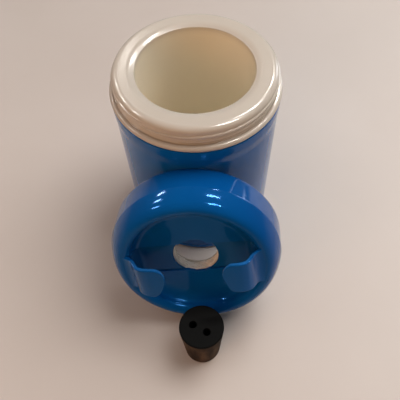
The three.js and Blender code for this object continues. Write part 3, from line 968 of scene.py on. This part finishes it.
def gasket_profile():
    """A flat ring with rounded lower edges and a shallow groove round its underside."""
    top = PLATE_Z - GAP
    low = top - GASKET_T
    edge = 0.5
    inner, outer = GASKET_IN_R + edge, GASKET_OUT_R - edge
    return joined(
        line((GASKET_IN_R, top), (GASKET_IN_R, low + edge), 0.5),
        arc((inner, low + edge), (edge, edge), 180, 270, 5),
        line((inner, low), (46, low)), arc((46.6, low), (0.6, 0.35), 180, 0, 9),
        line((47.2, low), (outer, low)), arc((outer, low + edge), (edge, edge), -90, 0, 5),
        line((GASKET_OUT_R, low + edge), (GASKET_OUT_R, top), 0.5),
        line((GASKET_OUT_R, top), (GASKET_IN_R, top), 2),
    )[:-1]


plate = closed_turn("inner_plate", plate_profile(), lid_place)
finished(plate, cream, "lid", ["lid_inner_plate"])
gasket = closed_turn("rim_gasket", gasket_profile(), lid_place)
finished(gasket, gasket_grey, "lid", ["lid_gasket"])

# %% [markdown]
# ## The stopper
# A tapered rubber plug with two bores for a thermometer and a stirrer. The bores are cut
# right through, each with a slightly wavy wall, since rubber is drilled rather than moulded.

# %% The rubber stopper
def stopper_profile():
    e = 0.9
    return joined(
        line((0, 0), (STOPPER_LOW_R - e, 0), 2), arc((STOPPER_LOW_R - e, e), (e, e), -90, 0, 7),
        line((STOPPER_LOW_R, e), (STOPPER_TOP_R, STOPPER_H - e), 1.2),
        arc((STOPPER_TOP_R - e, STOPPER_H - e), (e, e), 0, 90, 7),
        line((STOPPER_TOP_R - e, STOPPER_H), (0, STOPPER_H), 1.5),
    )


def bore_cutter(x, y, seed):
    z = np.concatenate([[-3], np.linspace(0, STOPPER_H - 0.5, 26), [STOPPER_H, STOPPER_H + 3]])
    angle = np.arange(48) * 2 * np.pi / 48
    radius = BORE_R + 0.08 * waves(angle[None], z[:, None] * 0.15, seed, 12, 5)
    radius[-2:] += 0.35
    points = turned(radius, z[:, None] + 0 * radius, angle) + (x, y, 0) + STOPPER_AT
    faces = grid_quads(len(z), 48, False, True).tolist()
    first = list(range(48))
    faces += [first[::-1], [i + 48 * (len(z) - 1) for i in first]]
    return bare_mesh("bore_cutter", points, faces)


def stopper():
    profile = stopper_profile()
    radius, height, angle = round_the_turn(profile, 128)
    side = (height > 0.5) & (height < STOPPER_H - 0.5) & (radius > STOPPER_LOW_R - 1)
    radius = radius + np.where(side, 0.05 * waves(angle, height * 0.1, 31, 24, 9) - 0.05, 0)
    points = turned(radius, height, angle) + STOPPER_AT
    obj = bare_mesh("stopper", points, grid_quads(len(profile), 128, False, True))
    for index, (x, y) in enumerate(BORES):
        combined(obj, bore_cutter(x, y, 41 + index), "DIFFERENCE")
    at = places(obj)
    r = np.hypot(at[:, 0] - STOPPER_AT[0], at[:, 1] - STOPPER_AT[1])
    mark(obj, "bloom", np.clip((STOPPER_H - 0.9 - at[:, 2]) / 3, 0, 1) * (r > STOPPER_LOW_R - 1.5))
    return obj


finished(stopper(), rubber, "stopper", ["rubber_stopper"], 35)

# %% [markdown]
# ## Floor, light and camera
# The pieces stand on a plain pale table. The room light is soft and comes from above, rather
# more from the right, with two rows of three ceiling fittings that draw small triple streaks on
# the gloss.

# %% The floor
def table_top():
    material, tree, shader, position = new_material("pale_table")
    base = blend_colour(tree, noise(tree, position, 120, 3), "#c7b9ae", "#d0c4ba")
    set_shader(
        tree, shader, Base_Color=base, Roughness=0.5, Specular_IOR_Level=0.3,
        Normal=bump(tree, noise(tree, position, 1.2, 2), 0.01),
    )
    side = 3000
    corners = side * np.array([(-1, -1, 0), (1, -1, 0), (1, 1, 0), (-1, 1, 0)], float)
    floor = bare_mesh("table", corners, [(0, 1, 2, 3)])
    floor.data.materials.append(material)
    return floor


table_top()
print("floor at z = 0")


# %% Lights
def area_light(name, place, aim, size, watts, colour):
    """A rectangular light at place, in metres, that faces the point aim."""
    data = bpy.data.lights.new(name, "AREA")
    data.shape = "RECTANGLE"
    data.size, data.size_y = size
    data.energy = watts
    data.color = linear(colour)[:3]
    obj = bpy.data.objects.new(name, data)
    bpy.context.scene.collection.objects.link(obj)
    facing = (Vector(aim) - Vector(place)).to_track_quat("-Z", "Y").to_matrix().to_4x4()
    obj.matrix_world = Matrix.Translation(place) @ facing
    return obj


AIM = (0, -0.05, 0.06)
CEILING = 2.0

# soft lights, which the gloss doesn't show: above on the right, left, and low and warm in front
for name, place, size, watts, colour in [
    ("soft_overhead", (0.6, 0.42, 1.4), (1.1, 1.1), 20.5, "#fdfdff"),
    ("soft_left", (-1.7, 0.2, 1.6), (1.2, 1.8), 6, "#f6f5ff"),
    ("warm_front", (-0.6, -1.05, 0.55), (1.0, 0.7), 4.6, "#ffb870"),
]:
    area_light(name, place, AIM, size, watts, colour).visible_glossy = False

# what only the gloss shows: two rows of ceiling fittings, a bright wall behind on the right, and
# a louvre of three slats whose reflection lies on the left of the rim
for x in (0.72, -2.2):
    for row, y in enumerate((1.75, 0.85, -0.15)):
        name = f"tube_{'right' if x > 0 else 'left'}_{row}"
        tube = area_light(name, (x, y, CEILING), (x, y, 0), (0.6, 0.13), 34, "#fffaf2")
        tube.visible_diffuse = False
wall = area_light("bright_wall", (1.35, 1.35, 0.55), AIM, (0.5, 0.8), 9, "#f3f7ff")
wall.visible_diffuse = False
for row in range(3):
    place = (-0.57, 2.03 + 0.036 * row, CEILING)
    louvre = area_light(f"louvre_{row}", place, (0, 0.01, 0.15), (0.13, 0.016), 0.6, "#fffaf2")
    louvre.visible_diffuse = False

world = bpy.data.worlds.new("soft_room")
world.use_nodes = True
background = world.node_tree.nodes["Background"]
background.inputs["Color"].default_value = linear("#d6d4d2")
background.inputs["Strength"].default_value = 0.27
bpy.context.scene.world = world
bpy.context.scene.view_settings.view_transform = "Standard"

# %% [markdown]
# The camera looks down at the object steeply from in front. Its axes are worked out from a
# heading, a pitch and a small roll, and put straight into its matrix.

# %% The camera
CAMERA_AT = (0.0273, -0.28145, 0.41322)
HEADING = math.radians(5.54)
PITCH = math.radians(56.285)
ROLL = math.radians(2.593)

ahead = Vector((-math.sin(HEADING), math.cos(HEADING), 0))
across = Vector((math.cos(HEADING), math.sin(HEADING), 0))
forward = ahead * math.cos(PITCH) - Vector((0, 0, math.sin(PITCH)))
upward = ahead * math.sin(PITCH) + Vector((0, 0, math.cos(PITCH)))
camera_x = across * math.cos(ROLL) - upward * math.sin(ROLL)
camera_y = across * math.sin(ROLL) + upward * math.cos(ROLL)
axes = Matrix((camera_x, camera_y, -forward)).transposed().to_4x4()
camera_data = bpy.data.cameras.new("bench_camera")
camera_data.lens = 50.4
camera_data.shift_x = -0.0025
camera = bpy.data.objects.new("bench_camera", camera_data)
camera.matrix_world = Matrix.Translation(CAMERA_AT) @ axes
bpy.context.scene.collection.objects.link(camera)
bpy.context.scene.camera = camera
to_rim = Vector((0, 0, RIM_Z * MM)) - Vector(CAMERA_AT)
print("camera distance to the rim, m:", round(to_rim.length, 3))
